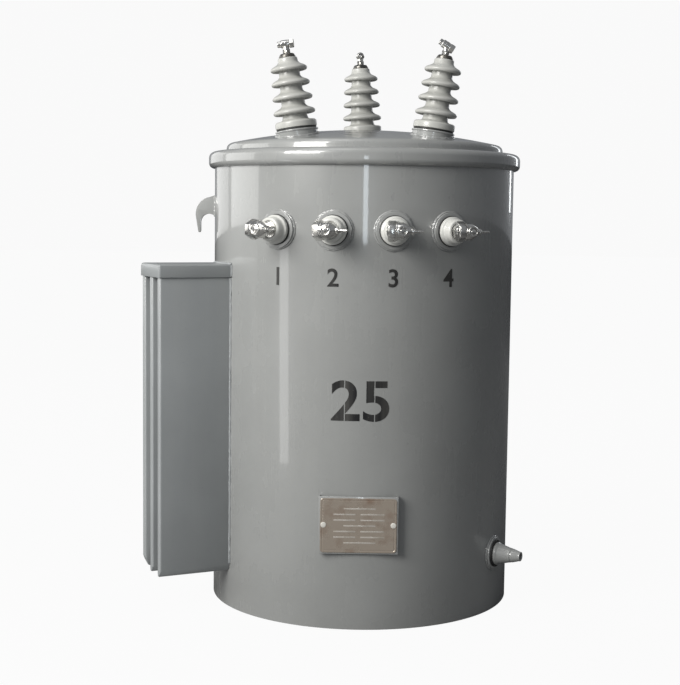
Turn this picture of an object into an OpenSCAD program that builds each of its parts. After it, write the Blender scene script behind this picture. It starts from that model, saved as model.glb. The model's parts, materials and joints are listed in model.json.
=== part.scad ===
// Pole mounted three-phase distribution transformer: a round oil tank with a
// domed cover, three high-voltage bushings on the cover, four low-voltage
// bushings round the front of the wall, a finned radiator on the left, a
// drain valve on the right and two hanging brackets at the rear.
// Millimetres. +Z is up, the front of the tank faces -Y, and the origin is the
// centre of the tank's flat base. An azimuth is measured from the front,
// positive towards +X.

/* [Tank] */
// Outside diameter of the tank wall
tank_d = 650; // [520:5:760]
// Height of the tank from the floor to the top of its flange
tank_h = 946; // [860:1:1200]
// Thickness of the rolled wall
wall_t = 5; // [3:0.5:8]
// Width of the flange round the top of the wall
flange_w = 8; // [6:0.5:14]
// Thickness of the tank's flange and of the cover's flange
flange_t = 6; // [4:0.5:8]
// Height of the skirt under the bottom plate
skirt_h = 17; // [10:1:30]
// Thickness of the bottom plate
floor_t = 6; // [4:0.5:10]

/* [Cover] */
// Gap between the outside of the wall and the step of the cover, measured inwards
step_inset = 25; // [18:1:32]
// Height of the step above the flange joint
step_h = 35; // [26:1:45]
// Rise of the dome above the step
dome_rise = 33; // [18:1:45]
// Radius of the shoulder between the step and the dome
shoulder_r = 12; // [8:1:16]
// Thickness of the cover sheet
cover_t = 5; // [3:0.5:8]
// Height of the clamping band
band_h = 35; // [30:1:42]
// How far the band hangs below the flange joint
band_drop = 17; // [14:1:20]
// Thickness of the band outside the flanges
band_t = 5; // [4:0.5:12]
// Radius of the band's upper outer corner
band_top_r = 13; // [8:1:17]
// Radius of the band's lower outer corner
band_low_r = 11; // [4:1:12]

/* [High-voltage bushings] */
// Sideways distance of the two outer bushings from the tank's axis
hv_side = 138.5; // [120:0.5:160]
// Gap between the boss of an outer bushing and the step of the cover
hv_edge = 25; // [15:1:60]
// Sideways lean of the two outer bushings in degrees
hv_lean = 8; // [0:0.5:12]
// How far the middle bushing stands behind the tank's axis
hv_back = 125; // [40:1:160]
// Sideways place of the middle bushing
hv_mid_x = -4; // [-20:1:20]
// Sideways lean of the middle bushing in degrees
hv_mid_lean = -2.5; // [-4:0.5:4]
// Height of the two outer bosses above the dome, at their axes
hv_boss_h = 9.5; // [8:0.5:30]
// Height of the middle boss above the dome, at its axis
hv_mid_boss_h = 7; // [7:0.5:30]
// Diameter of the top of the cover boss
hv_boss_d = 88; // [84:1:100]
// Diameter of the neck of the cover boss
hv_boss_neck_d = 84; // [70:1:86]
// Thickness of the gasket under each bushing
hv_gasket_t = 4; // [2:0.5:6]
// Diameter of the porcelain flange
hv_flange_d = 85; // [78:1:96]
// Thickness of the porcelain flange
hv_flange_t = 14; // [12:1:22]
// Number of weather sheds
hv_sheds = 4; // [3:1:6]
// Height from the gasket to the rim of the lowest shed
hv_first_shed = 29; // [29:1:44]
// Distance from one shed to the next
hv_shed_pitch = 29.2; // [26:0.2:34]
// Diameter of the lowest shed
hv_shed_d = 86; // [74:1:92]
// Decrease in diameter from one shed to the next
hv_shed_step = 3.6; // [0:0.2:5]
// Thickness of a shed at its rim
hv_rim_t = 7; // [4:0.5:8]
// Diameter of the porcelain core at its foot
hv_core_d = 53; // [48:1:60]
// Diameter of the porcelain core at its top
hv_core_top_d = 40; // [34:1:44]
// Height of the porcelain neck above the rim of the top shed
hv_neck_h = 26; // [20:1:34]
// Diameter of the metal cap
hv_cap_d = 34; // [30:1:42]
// Height of the metal cap
hv_cap_h = 8; // [5:0.5:14]
// Diameter of the post on the cap
hv_post_d = 16; // [12:0.5:22]
// Height of the post's axis end above the cap
hv_post_h = 20; // [18:1:30]
// Diameter of the crosswise clamp barrel
hv_barrel_d = 19; // [16:0.5:24]
// Length of the crosswise clamp barrel
hv_barrel_l = 34; // [28:1:44]
// Diameter of the wire hole along the barrel
hv_wire_d = 9; // [6:0.5:10]
// Turn of the right-hand barrel out of the level, in degrees
hv_right_turn = 25; // [0:1:40]

/* [Low-voltage bushings] */
// Angle between neighbouring bushings in degrees
lv_pitch = 21.1; // [20:0.2:26]
// Height of the bushings' axes
lv_z = 801; // [700:1:820]
// Diameter of the welded boss ring
lv_boss_d = 75; // [66:1:80]
// How far the boss ring stands off the wall
lv_boss_h = 5; // [3:0.5:8]
// Diameter of the gasket
lv_gasket_d = 61; // [58:1:66]
// Thickness of the gasket
lv_gasket_t = 3; // [2:0.5:4]
// Diameter of the porcelain base
lv_base_d = 58; // [56:1:64]
// Diameter of the porcelain face
lv_face_d = 48; // [44:1:54]
// Length of the porcelain from the gasket to its face
lv_len = 26; // [22:1:34]
// Diameter of the recess in the face
lv_recess_d = 35; // [32:1:38]
// Diameter of the terminal stud
lv_stud_d = 16; // [12:1:20]
// Distance from the porcelain face to the axis of the crosswise clamp
lv_reach = 30; // [26:1:40]
// Angle of the crosswise clamp away from the wall in degrees
lv_turn = 13; // [0:1:20]
// Diameter of the clamp's head across its corners
lv_head_d = 41; // [34:1:46]
// Length of the clamp's head
lv_head_l = 18; // [14:1:24]
// Diameter of the clamp's body
lv_body_d = 34; // [28:1:38]
// Length of the clamp's body
lv_body_l = 14; // [10:1:20]
// Length of the clamp's taper
lv_taper_l = 13; // [8:1:20]
// Diameter of the small nut
lv_nut_d = 15; // [12:0.5:18]
// Length of the small nut
lv_nut_l = 6; // [4:0.5:9]
// Diameter of the earth pin that comes out of the nut
lv_pin_d = 5; // [4:0.5:7]
// Length of the pin
lv_pin_l = 19; // [12:1:26]

/* [Radiator] */
// Azimuth that the fins point along, in degrees
rad_az = -64; // [-80:1:-55]
// How far the fins reach out from the tank's wall along that azimuth
fin_len = 153; // [100:1:200]
// Offset of the middle fin from the radiator's azimuth line
rad_shift = 22; // [0:1:30]
// Distance from one fin to the next
fin_pitch = 51; // [40:1:75]
// Thickness of a fin
fin_t = 16; // [10:1:24]
// Height of the fins' lower edge above the floor
fin_z0 = 78.5; // [50:0.5:160]
// Height of the top of the radiator
rad_top_z = 727; // [600:1:740]
// Height of the tapered seam along a fin's lower edge
fin_seam_h = 13; // [6:1:20]
// Thickness of a fin at its seam
fin_seam_t = 6; // [4:0.5:9]
// Thickness of the top cap's sheet
cap_t = 3; // [2:0.5:5]
// Depth of the top cap's flange
cap_skirt = 27; // [18:1:35]
// Radius of the top cap's upright corners
cap_corner_r = 6; // [4:0.5:7]
// Radius of the bend along the top cap's outer end
cap_end_r = 8; // [4:0.5:12]
// Radius of the bend along the top cap's two sides
cap_side_r = 4; // [3.5:0.5:8]
// Size of the cut corner at the foot of the rear fin
fin_cut = 22; // [10:1:40]

/* [Lifting hooks] */
// Azimuths of the lifting hooks in degrees
hook_az = [-90, 124];
// Thickness of a hook
hook_t = 12; // [8:1:16]
// Height of the centre of the hook's throat
hook_z = 813; // [720:1:820]
// Radius of the hook's throat
hook_throat_r = 18; // [14:0.5:20]
// Radius of the hook's back
hook_back_r = 37.5; // [36:0.5:46]
// Radius of the hook's tip
hook_tip_r = 2.6; // [2:0.1:4]

/* [Nameplate] */
// Width of the nameplate
plate_w = 153; // [120:1:180]
// Height of the nameplate
plate_h = 110; // [90:1:140]
// Thickness of the nameplate
plate_t = 1.5; // [1:0.1:3]
// Height of the nameplate's middle
plate_z = 215; // [180:0.5:300]
// Sideways place of the nameplate's middle
plate_x = -3; // [-20:1:20]
// Corner radius of the nameplate
plate_r = 7; // [3:1:12]
// Margin of the holder round the nameplate
holder_margin = 3; // [1:0.5:6]
// Thickness of the holder's sheet
holder_t = 3; // [2:0.5:4]
// Gap between the tank's wall and the holder's front sheet
holder_gap = 4; // [2:0.5:10]

/* [Drain valve] */
// Azimuth of the drain valve in degrees
drain_az = 61; // [40:1:75]
// Height of the drain valve's axis
drain_z = 121; // [80:1:200]
// Diameter of the welded boss ring
drain_boss_d = 68; // [56:1:76]
// How far the boss ring stands off the wall
drain_boss_h = 5; // [3:0.5:8]
// Diameter of the gasket
drain_gasket_d = 57; // [46:1:60]
// Thickness of the gasket
drain_gasket_t = 3; // [2:0.5:5]
// Diameter of the valve body at its foot
drain_foot_d = 48; // [38:1:52]
// Diameter of the valve body at its neck
drain_neck_d = 30; // [24:1:34]
// Length of the tapered body
drain_body_l = 34; // [24:1:46]
// Diameter of the nozzle at its mouth
drain_mouth_d = 20; // [18:1:24]
// Length of the nozzle
drain_nozzle_l = 18; // [10:1:24]
// Diameter of the hole in the nozzle
drain_bore_d = 13; // [8:0.5:15]

/* [Pole brackets] */
// Distance between the bolt holes of the two brackets
bracket_pitch = 590; // [500:1:640]
// Height of the lower bolt hole
bracket_z = 170; // [150:1:200]
// Gap between the wall and the bracket's plate
bracket_gap = 50; // [40:1:70]
// Width of the plate
bracket_w = 110; // [90:1:140]
// Height of the plate
bracket_h = 120; // [90:1:140]
// Thickness of the plate and its two arms
bracket_t = 8; // [6:0.5:12]
// Diameter of the bolt hole
bracket_hole_d = 22; // [18:0.5:26]
// Corner radius of the plate
bracket_r = 12; // [4:1:20]

/* [Hidden] */
$fn = 96;
eps = 1;                       // overshoot of a cutting tool
fit = 0.2;                     // clearance where a piece follows a curved face
tank_r = tank_d/2;
flange_r = tank_r + flange_w;
step_r = tank_r - step_inset;
step_z = tank_h + step_h;
dome_z = step_z + dome_rise;
dome_r = (step_r*step_r + dome_rise*dome_rise)/(2*dome_rise);
shoulder_x = step_r - shoulder_r;
shoulder_z = dome_z - dome_r + sqrt(pow(dome_r - shoulder_r, 2) - shoulder_x*shoulder_x);
dome_fn = 1440;
band_r = flange_r + band_t;
band_z0 = tank_h - band_drop;
band_z1 = band_z0 + band_h;
// how far the two outer bushings stand in front of the tank's axis
hv_front = sqrt(pow(step_r - hv_edge - hv_boss_d/2, 2) - hv_side*hv_side);
// place, lean and boss height of each high-voltage bushing
LEFT = [[-hv_side, -hv_front], -hv_lean, hv_boss_h];
RIGHT = [[hv_side, -hv_front], hv_lean, hv_boss_h];
REAR = [[hv_mid_x, hv_back], hv_mid_lean, hv_mid_boss_h];
hv_top_shed = hv_first_shed + (hv_sheds - 1)*hv_shed_pitch;
hv_len = hv_top_shed + hv_neck_h;
lv_az = [-1.5, -0.5, 0.5, 1.5]*lv_pitch;
lv_face = lv_boss_h + lv_gasket_t + lv_len;
lv_recess_h = 3;
fin_offsets = [-1, 0, 1]*fin_pitch;
fin_edge = 3;                  // bevel along the upright outer edges of a fin
rad_reach = tank_r + fin_len;
fin_top = rad_top_z - max(cap_end_r, cap_side_r, cap_t);
cap_gap = 0.3;                 // clearance between the fins and the cap's flange
cap_s0 = rad_shift - fin_pitch - fin_t/2 - cap_gap - cap_t;
cap_s1 = rad_shift + fin_pitch + fin_t/2 + cap_gap + cap_t;
cap_reach = rad_reach + cap_gap + cap_t;
hook_x = tank_r + hook_throat_r - 4;
holder_y = -(tank_r + holder_gap);
bracket_y = tank_r + bracket_gap;

paint = "#8f9290";
fin_paint = "#7b8283";
porcelain = "#e6e6e0";
rubber = "#1c1c1c";
tin = "#c4c6c8";
steel = "#b9bbbc";

// ---------- frames and helpers ----------

// Points of an arc about c, from angle a0 to a1
function arc(c, r, a0, a1, n) =
    [for (i = [0:n]) let (a = a0 + (a1 - a0)*i/n) c + r*[cos(a), sin(a)]];

// A slab with rounded corners, centred on the origin
module rounded_slab(w, h, t, r) {
    linear_extrude(t) {
        square([w - 2*r, h], center = true);
        square([w, h - 2*r], center = true);
        for (x = [-1, 1], y = [-1, 1])
            translate([x*(w/2 - r), y*(h/2 - r)]) circle(r, $fn = 48);
    }
}

// The space that the tank takes, for cutting what stands on its wall
module tank_space() {
    translate([0, 0, -eps]) cylinder(r = tank_r + fit, h = tank_h + 2*eps, $fn = 180);
}

// The space under the dome, for cutting what stands on the cover
module dome_space() {
    rotate_extrude($fn = 180) intersection() {
        translate([0, dome_z - dome_r]) circle(dome_r + fit, $fn = dome_fn);
        square([step_r, dome_z + eps]);
    }
}

// A frame on the wall: local +Z points away from the tank and +Y points up
module on_wall(az, z, out = 0) {
    rotate([0, 0, az]) translate([0, -tank_r - out, z]) rotate([90, 0, 0]) children();
}

// Height of the dome over a point of the cover
function dome_at(p) = dome_z - dome_r + sqrt(dome_r*dome_r - p*p);

// A frame on the cover, leaning with a high-voltage bushing; its origin is
// a given distance above the bushing's boss
module on_cover(hv, up = 0) {
    translate([hv[0].x, hv[0].y, dome_at(hv[0])])
        rotate([0, hv[1], 0]) translate([0, 0, hv[2] + up]) children();
}

// The radiator's frame: local +X runs outwards and +Y runs towards the rear
module at_radiator() {
    rotate([0, 0, rad_az - 90]) mirror([0, 1, 0]) children();
}

// ---------- tank and cover ----------

module tank_wall() {
    color(paint) difference() {
        union() {
            cylinder(r = tank_r, h = tank_h, $fn = 180);
            translate([0, 0, tank_h - flange_t]) cylinder(r = flange_r, h = flange_t, $fn = 180);
        }
        translate([0, 0, -eps]) cylinder(r = tank_r - wall_t, h = tank_h + 2*eps, $fn = 180);
    }
}

module tank_floor() {
    color(paint) translate([0, 0, skirt_h])
        cylinder(r = tank_r - wall_t - fit, h = floor_t, $fn = 180);
}

// Half section of the dome and its shoulder, less a given thickness
module dome_section(inset) {
    z0 = tank_h - eps;
    crown_x = shoulder_x*dome_r/(dome_r - shoulder_r);
    intersection() {
        translate([0, dome_z - dome_r]) circle(dome_r - inset, $fn = dome_fn);
        translate([0, z0]) square([crown_x*(dome_r - inset)/dome_r, dome_z - z0]);
    }
    translate([shoulder_x, shoulder_z]) circle(shoulder_r - inset, $fn = 64);
    translate([0, z0]) square([step_r - inset, shoulder_z - z0]);
}

module cover() {
    color(paint) rotate_extrude($fn = 180) difference() {
        union() {
            intersection() {
                dome_section(0);
                translate([0, tank_h]) square([step_r, dome_z - tank_h]);
            }
            translate([0, tank_h]) square([flange_r, flange_t]);
        }
        dome_section(cover_t);
    }
}

module cover_band() {
    color(paint) rotate_extrude($fn = 180) difference() {
        union() {
            translate([step_r + fit, band_z0])
                square([band_r - band_top_r - step_r - fit, band_h]);
            translate([band_r - band_top_r, band_z0 + band_low_r])
                square([band_top_r, band_h - band_top_r - band_low_r]);
            translate([band_r - band_top_r, band_z0])
                square([band_top_r - band_low_r, band_low_r]);
            translate([band_r - band_top_r, band_z1 - band_top_r]) circle(band_top_r, $fn = 64);
            translate([band_r - band_low_r, band_z0 + band_low_r]) circle(band_low_r, $fn = 48);
        }
        translate([0, tank_h - flange_t - fit]) square([flange_r + fit, 2*flange_t + 2*fit]);
        translate([0, band_z0 - eps]) square([tank_r + fit, tank_h - flange_t - band_z0 + eps]);
    }
}

// ---------- high-voltage bushings ----------

module hv_boss(hv) {
    under = 45;
    lip = 3;
    color(paint) difference() {
        on_cover(hv) rotate_extrude() polygon([
            [0, -under], [hv_boss_neck_d/2, -under], [hv_boss_neck_d/2, -lip - 1],
            [hv_boss_d/2, -lip], [hv_boss_d/2, -1], [hv_boss_d/2 - 1, 0], [0, 0]]);
        dome_space();
    }
}

module hv_gaskets() {
    color(rubber) for (hv = [LEFT, RIGHT, REAR])
        on_cover(hv) cylinder(d = hv_flange_d - 3, h = hv_gasket_t);
}

// Radius of the porcelain core at a height above the gasket
function core_r(s) = (hv_core_d + (hv_core_top_d - hv_core_d)*s/hv_len)/2;

// Outline of one weather shed, from its underside round the rim to its top
function shed(i) =
    let (s = hv_first_shed + i*hv_shed_pitch,
         r = (hv_shed_d - i*hv_shed_step)/2,
         root = core_r(s),
         w = r - root,
         under = w - 0.75*hv_rim_t)
    concat(
        [[root, s + 1.5], [root + 0.4*under, s + 3.2], [root + 0.8*under, s + 1.8]],
        arc([r - hv_rim_t/2, s + hv_rim_t/2 - 0.6], hv_rim_t/2, -120, 60, 8),
        [[root + 0.62*w, s + 8.6], [root + 0.35*w, s + 10.8], [root + 0.12*w, s + 13.4],
         [core_r(s + 17), s + 17]]);

module hv_bushing(hv) {
    edge = 4;
    color(porcelain) on_cover(hv, hv_gasket_t) rotate_extrude() polygon(concat(
        [[0, 0], [hv_flange_d/2 - 2, 0]],
        arc([hv_flange_d/2 - 2, 2], 2, -90, 0, 3),
        arc([hv_flange_d/2 - edge, hv_flange_t - edge], edge, 0, 90, 6),
        [[core_r(hv_flange_t) + 5, hv_flange_t + 1], [core_r(hv_flange_t) + 1, hv_flange_t + 4],
         [core_r(hv_flange_t + 9), hv_flange_t + 9]],
        [for (i = [0:hv_sheds - 1]) each shed(i)],
        [[hv_core_top_d/2, hv_len - 1.5], [hv_core_top_d/2 - 1.5, hv_len], [0, hv_len]]));
}

module hv_cap(hv) {
    color(steel) on_cover(hv, hv_gasket_t + hv_len) rotate_extrude() polygon([
        [0, 0], [hv_cap_d/2, 0], [hv_cap_d/2, hv_cap_h - 2.5], [hv_cap_d/2 - 2.5, hv_cap_h],
        [0, hv_cap_h]]);
}

// The clamp barrel lies across the post; az is the direction that its nut
// points in, and dip is how far the nut points downwards
module hv_terminal(hv, az, dip = 0) {
    nut_l = 0.3*hv_barrel_l;
    nose_l = 0.2*hv_barrel_l;
    color(tin) on_cover(hv, hv_gasket_t + hv_len + hv_cap_h) difference() {
        union() {
            cylinder(d1 = hv_post_d, d2 = hv_post_d - 4, h = hv_post_h);
            translate([0, 0, hv_post_h]) rotate([90 + dip, 0, az])
                translate([0, 0, -hv_barrel_l/2]) {
                    cylinder(d = 0.65*hv_barrel_d, h = nose_l + eps);
                    translate([0, 0, nose_l])
                        cylinder(d = hv_barrel_d - 2, h = hv_barrel_l - nose_l - nut_l + eps);
                    translate([0, 0, hv_barrel_l - nut_l])
                        cylinder(d = hv_barrel_d, h = nut_l, $fn = 6);
                }
        }
        translate([0, 0, hv_post_h]) rotate([90 + dip, 0, az])
            cylinder(d = hv_wire_d, h = 2*hv_barrel_l, center = true);
    }
}

// ---------- low-voltage bushings ----------

module lv_boss(az) {
    color(paint) difference() {
        on_wall(az, lv_z, -16) cylinder(d = lv_boss_d, h = 16 + lv_boss_h);
        tank_space();
    }
}

module lv_gaskets() {
    color(rubber) for (az = lv_az)
        on_wall(az, lv_z, lv_boss_h) cylinder(d = lv_gasket_d, h = lv_gasket_t);
}

module lv_bushing(az) {
    base_l = 9;
    edge = 3.5;
    color(porcelain) on_wall(az, lv_z, lv_boss_h + lv_gasket_t) rotate_extrude() polygon(concat(
        [[0, 0], [lv_base_d/2 - 1, 0], [lv_base_d/2, 1]],
        arc([lv_base_d/2 - 3, base_l - 3], 3, 0, 80, 4),
        [[lv_base_d/2 - 4, base_l + 1.5]],
        arc([lv_face_d/2 - edge, lv_len - edge], edge, 10, 90, 5),
        [[lv_recess_d/2 + 1, lv_len], [lv_recess_d/2, lv_len - 1],
         [lv_recess_d/2, lv_len - lv_recess_h], [0, lv_len - lv_recess_h]]));
}

module lv_terminal(az) {
    washer_t = 2.5;
    nut_l = 8;
    start = -(lv_head_l + lv_body_l/2);
    color(tin) on_wall(az, lv_z, lv_face - lv_recess_h) {
        cylinder(d = lv_recess_d - 3, h = washer_t);
        cylinder(d = 0.78*lv_recess_d, h = washer_t + nut_l, $fn = 6);
        cylinder(d = lv_stud_d, h = lv_reach + lv_recess_h);
        translate([0, 0, lv_reach + lv_recess_h]) rotate([0, 90 - lv_turn, 0]) {
            // chamfered hexagonal head
            intersection() {
                translate([0, 0, start]) cylinder(d = lv_head_d, h = lv_head_l + 0.5, $fn = 6);
                translate([0, 0, start]) cylinder(d1 = lv_head_d - 7, d2 = lv_head_d + 2*lv_head_l - 7,
                    h = lv_head_l + 0.5);
            }
            translate([0, 0, -lv_body_l/2]) cylinder(d = lv_body_d, h = lv_body_l);
            translate([0, 0, lv_body_l/2])
                cylinder(d1 = lv_body_d - 2, d2 = lv_nut_d - 1, h = lv_taper_l);
            translate([0, 0, lv_body_l/2 + lv_taper_l]) cylinder(d = lv_nut_d, h = lv_nut_l, $fn = 6);
            translate([0, 0, lv_body_l/2 + lv_taper_l + lv_nut_l - 1])
                cylinder(d = lv_pin_d, h = lv_pin_l + 1);
        }
    }
}

// ---------- radiator ----------

// A fin in the radiator's frame; cut is the size of its cut outer foot corner
module fin(offset, cut) {
    color(fin_paint) difference() {
        at_radiator() translate([0, rad_shift + offset, 0]) intersection() {
            // plan: bevelled along the outer edge
            linear_extrude(fin_top) polygon([
                [0, -fin_t/2], [rad_reach - fin_edge, -fin_t/2], [rad_reach, -fin_t/2 + fin_edge],
                [rad_reach, fin_t/2 - fin_edge], [rad_reach - fin_edge, fin_t/2], [0, fin_t/2]]);
            // end view: tapered to a seam at the foot
            rotate([90, 0, 90]) linear_extrude(rad_reach + eps) polygon([
                [-fin_seam_t/2, fin_z0], [fin_seam_t/2, fin_z0], [fin_t/2, fin_z0 + fin_seam_h],
                [fin_t/2, fin_top], [-fin_t/2, fin_top], [-fin_t/2, fin_z0 + fin_seam_h]]);
            // side view: the outer foot corner cut off
            rotate([90, 0, 0]) linear_extrude(2*fin_t, center = true) polygon([
                [0, fin_z0 - eps], [rad_reach - cut/2, fin_z0 - eps], [rad_reach, fin_z0 + cut],
                [rad_reach, fin_top], [0, fin_top]]);
        }
        tank_space();
    }
}

// The top cap as a solid block, drawn in by a given distance
module cap_block(inset) {
    r_plan = max(cap_corner_r - inset, 0.5);
    r_end = max(cap_end_r - inset, 0.5);
    r_side = max(cap_side_r - inset, 0.5);
    x1 = cap_reach - inset;
    y0 = cap_s0 + inset;
    y1 = cap_s1 - inset;
    z0 = rad_top_z - cap_skirt - (inset > 0 ? eps : 0);
    z1 = rad_top_z - inset;
    intersection() {
        translate([0, 0, z0]) linear_extrude(z1 - z0) polygon(concat([[0, y0]],
            arc([x1 - r_plan, y0 + r_plan], r_plan, -90, 0, 6),
            arc([x1 - r_plan, y1 - r_plan], r_plan, 0, 90, 6), [[0, y1]]));
        rotate([90, 0, 0]) linear_extrude(2*(cap_s1 - cap_s0), center = true) polygon(concat(
            [[0, z0], [x1, z0]], arc([x1 - r_end, z1 - r_end], r_end, 0, 90, 6), [[0, z1]]));
        rotate([90, 0, 90]) linear_extrude(x1 + eps) polygon(concat(
            [[y0, z0], [y1, z0]], arc([y1 - r_side, z1 - r_side], r_side, 0, 90, 5),
            arc([y0 + r_side, z1 - r_side], r_side, 90, 180, 5)));
    }
}

module radiator_cap() {
    color(fin_paint) difference() {
        at_radiator() difference() {
            cap_block(0);
            cap_block(cap_t);
        }
        tank_space();
    }
}

// ---------- fittings on the wall ----------

// A plate hook whose beak opens downwards
module lifting_hook(az) {
    back = [hook_x - 8, 18];
    tip = [hook_x + hook_throat_r + hook_tip_r + 0.6, -20];
    color(paint) difference() {
        rotate([0, 0, az - 90]) translate([0, 0, hook_z]) rotate([90, 0, 0])
            linear_extrude(hook_t, center = true) difference() {
                polygon(concat(
                    [[tank_r - 20, 66]],
                    arc(back, hook_back_r, 80, -12, 14),
                    arc(tip, hook_tip_r, 0, -180, 6),
                    [[hook_x, 0], [tank_r - 20, 0]]));
                translate([hook_x, 0]) circle(hook_throat_r, $fn = 64);
                translate([tank_r - 30, -40]) square([hook_x - tank_r + 30 + hook_throat_r, 40]);
                translate([tank_r - 30, -40])
                    square([30, 40 + sqrt(pow(hook_throat_r, 2) - pow(hook_x - tank_r, 2))]);
            }
        tank_space();
    }
}

module nameplate_holder() {
    w = plate_w + 2*holder_margin;
    h = plate_h + 2*holder_margin;
    depth = tank_r;
    color(paint) difference() {
        translate([plate_x, holder_y, plate_z]) difference() {
            translate([-w/2, -holder_t, -h/2]) cube([w, depth, h]);
            translate([-w/2 + holder_t, 0, -h/2 - eps]) cube([w - 2*holder_t, depth + eps, h + 2*eps]);
        }
        tank_space();
        translate([-tank_r, -tank_r/2, 0]) cube([tank_d, tank_d, tank_h]);
    }
}

module nameplate() {
    color(steel) translate([plate_x, holder_y - holder_t, plate_z]) rotate([90, 0, 0])
        rounded_slab(plate_w, plate_h, plate_t, plate_r);
}

module drain_boss() {
    color(paint) difference() {
        on_wall(drain_az, drain_z, -16) cylinder(d = drain_boss_d, h = 16 + drain_boss_h);
        tank_space();
    }
}

module drain_gasket() {
    color(rubber) on_wall(drain_az, drain_z, drain_boss_h)
        cylinder(d = drain_gasket_d, h = drain_gasket_t);
}

module drain_valve() {
    groove = 1.5;
    groove_l = 3;
    mouth = drain_body_l + groove_l + drain_nozzle_l;
    color(paint) on_wall(drain_az, drain_z, drain_boss_h + drain_gasket_t) difference() {
        rotate_extrude() polygon([
            [0, 0], [drain_foot_d/2, 0], [drain_foot_d/2, 4], [drain_neck_d/2, drain_body_l],
            [drain_neck_d/2 - groove, drain_body_l + 0.5],
            [drain_neck_d/2 - groove, drain_body_l + groove_l - 0.5],
            [drain_neck_d/2 - 0.5, drain_body_l + groove_l], [drain_mouth_d/2 + 1, mouth - 2],
            [drain_mouth_d/2, mouth], [0, mouth]]);
        translate([0, 0, mouth - drain_nozzle_l]) cylinder(d = drain_bore_d, h = drain_nozzle_l + eps);
    }
}

// ---------- pole brackets ----------

module pole_bracket(z) {
    arm_x = bracket_w/2 - bracket_r - bracket_t;
    color(paint) difference() {
        union() {
            translate([0, bracket_y, z]) rotate([-90, 0, 0])
                rounded_slab(bracket_w, bracket_h, bracket_t, bracket_r);
            for (x = [-arm_x - bracket_t, arm_x])
                translate([x, 0, z - bracket_h/2 + bracket_r])
                    cube([bracket_t, bracket_y + eps, bracket_h - 2*bracket_r]);
        }
        tank_space();
        translate([0, bracket_y - eps, z]) rotate([-90, 0, 0])
            cylinder(d = bracket_hole_d, h = bracket_t + 2*eps);
    }
}

tank_wall();
tank_floor();
cover();
cover_band();
hv_boss(LEFT);  // hv_boss_left
hv_boss(RIGHT);  // hv_boss_right
hv_boss(REAR);  // hv_boss_rear
hv_gaskets();
hv_bushing(LEFT);  // hv_bushing_left
hv_bushing(RIGHT);  // hv_bushing_right
hv_bushing(REAR);  // hv_bushing_rear
hv_cap(LEFT);  // hv_cap_left
hv_cap(RIGHT);  // hv_cap_right
hv_cap(REAR);  // hv_cap_rear
hv_terminal(LEFT, 90);  // hv_terminal_left
hv_terminal(RIGHT, 90, hv_right_turn);  // hv_terminal_right
hv_terminal(REAR, 180);  // hv_terminal_rear
lv_boss(lv_az[0]);  // lv_boss_1
lv_boss(lv_az[1]);  // lv_boss_2
lv_boss(lv_az[2]);  // lv_boss_3
lv_boss(lv_az[3]);  // lv_boss_4
lv_gaskets();
lv_bushing(lv_az[0]);  // lv_bushing_1
lv_bushing(lv_az[1]);  // lv_bushing_2
lv_bushing(lv_az[2]);  // lv_bushing_3
lv_bushing(lv_az[3]);  // lv_bushing_4
lv_terminal(lv_az[0]);  // lv_terminal_1
lv_terminal(lv_az[1]);  // lv_terminal_2
lv_terminal(lv_az[2]);  // lv_terminal_3
lv_terminal(lv_az[3]);  // lv_terminal_4
fin(fin_offsets[0], 0);  // radiator_fin_front
fin(fin_offsets[1], 0);  // radiator_fin_middle
fin(fin_offsets[2], fin_cut);  // radiator_fin_rear
radiator_cap();
lifting_hook(hook_az[0]);  // lifting_hook_left
lifting_hook(hook_az[1]);  // lifting_hook_right
nameplate_holder();
nameplate();
drain_boss();
drain_gasket();
drain_valve();
pole_bracket(bracket_z + bracket_pitch);  // pole_bracket_upper
pole_bracket(bracket_z);  // pole_bracket_lower
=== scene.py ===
"""Looks of a pole mounted transformer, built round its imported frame. Metres, +Z up, front towards -Y."""
import json
import math

import bpy
from mathutils import Matrix, Vector

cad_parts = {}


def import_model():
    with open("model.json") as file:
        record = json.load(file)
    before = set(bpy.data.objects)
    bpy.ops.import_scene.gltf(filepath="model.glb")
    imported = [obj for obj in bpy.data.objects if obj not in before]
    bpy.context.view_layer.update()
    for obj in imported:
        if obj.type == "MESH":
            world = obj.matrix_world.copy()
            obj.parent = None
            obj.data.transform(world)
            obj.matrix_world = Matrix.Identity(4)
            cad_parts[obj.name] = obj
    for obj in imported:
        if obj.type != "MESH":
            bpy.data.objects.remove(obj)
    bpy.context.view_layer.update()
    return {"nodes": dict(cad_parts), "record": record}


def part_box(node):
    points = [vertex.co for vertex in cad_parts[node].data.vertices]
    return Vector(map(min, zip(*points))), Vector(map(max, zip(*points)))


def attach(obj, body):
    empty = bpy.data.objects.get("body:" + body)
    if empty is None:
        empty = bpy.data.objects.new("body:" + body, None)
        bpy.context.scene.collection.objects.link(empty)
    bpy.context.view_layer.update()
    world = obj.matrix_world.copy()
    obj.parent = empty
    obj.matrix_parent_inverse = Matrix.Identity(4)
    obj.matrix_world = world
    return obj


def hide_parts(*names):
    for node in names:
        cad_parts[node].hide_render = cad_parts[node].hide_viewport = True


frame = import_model()
NODES = frame["nodes"]

# ---------- sizes, in metres unless a name says otherwise ----------

MM = 0.001
TANK_R = 0.325                                    # outside radius of the wall
TANK_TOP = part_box("tank_wall")[1].z
WALL_T = 0.005
STEP_R = TANK_R - 0.025                           # radius of the cover's step
STEP_Z = TANK_TOP + 0.035
DOME_RISE = 0.033
DOME_Z = STEP_Z + DOME_RISE
DOME_R = (STEP_R**2 + DOME_RISE**2)/(2*DOME_RISE)
HV_SIDE = 0.1385
HV_FRONT = math.sqrt((STEP_R - 0.025 - 0.044)**2 - HV_SIDE**2)
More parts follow.
